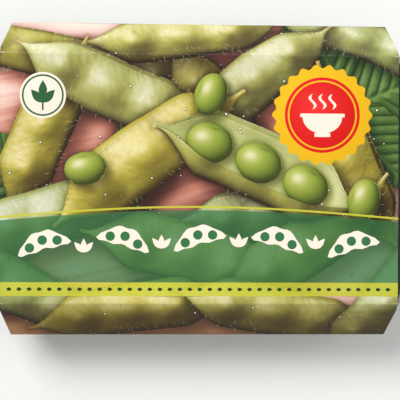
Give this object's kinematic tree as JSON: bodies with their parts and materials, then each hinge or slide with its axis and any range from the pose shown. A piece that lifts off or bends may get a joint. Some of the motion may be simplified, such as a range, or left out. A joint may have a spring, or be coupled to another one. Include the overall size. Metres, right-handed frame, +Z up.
{
  "type": "sleeved tray pack of edamame pods",
  "caption": "Chilled snack pack: a shallow black tray of cooked edamame pods under a clear clip-over lid, held in a six-sided printed board sleeve with tapered open ends.",
  "frame": {"origin": "centre of the sleeve's underside, on the surface that the pack stands on", "axes": "+X along the pack's length, -Y towards its front edge, +Z up out of its printed face"},
  "size_m": [0.1702, 0.1274, 0.0339],
  "materials": {
    "board": "printed paperboard with a satin varnish, bare and off-white inside",
    "tray_plastic": "gloss black, thermoformed",
    "clear_plastic": "clear and gloss, thermoformed",
    "pods": "downy cooked green pod"
  },
  "bodies": {
    "root": {"sleeve": "board", "tray": "tray_plastic", "lid": "clear_plastic", "pod_01": "pods", "pod_02": "pods", "pod_03": "pods", "pod_04": "pods", "pod_05": "pods", "pod_06": "pods", "pod_07": "pods", "pod_08": "pods", "pod_09": "pods", "pod_10": "pods", "pod_11": "pods", "pod_12": "pods", "pod_13": "pods", "pod_14": "pods", "pod_15": "pods", "pod_16": "pods", "pod_17": "pods", "pod_18": "pods", "pod_19": "pods", "pod_20": "pods", "pod_21": "pods", "pod_22": "pods", "pod_23": "pods", "pod_24": "pods", "pod_25": "pods", "pod_26": "pods", "pod_27": "pods", "pod_28": "pods", "pod_29": "pods", "pod_30": "pods", "pod_31": "pods", "pod_32": "pods", "pod_33": "pods", "pod_34": "pods", "pod_35": "pods", "pod_36": "pods", "pod_37": "pods", "pod_38": "pods", "pod_39": "pods", "pod_40": "pods"}
  },
  "joints": []
}
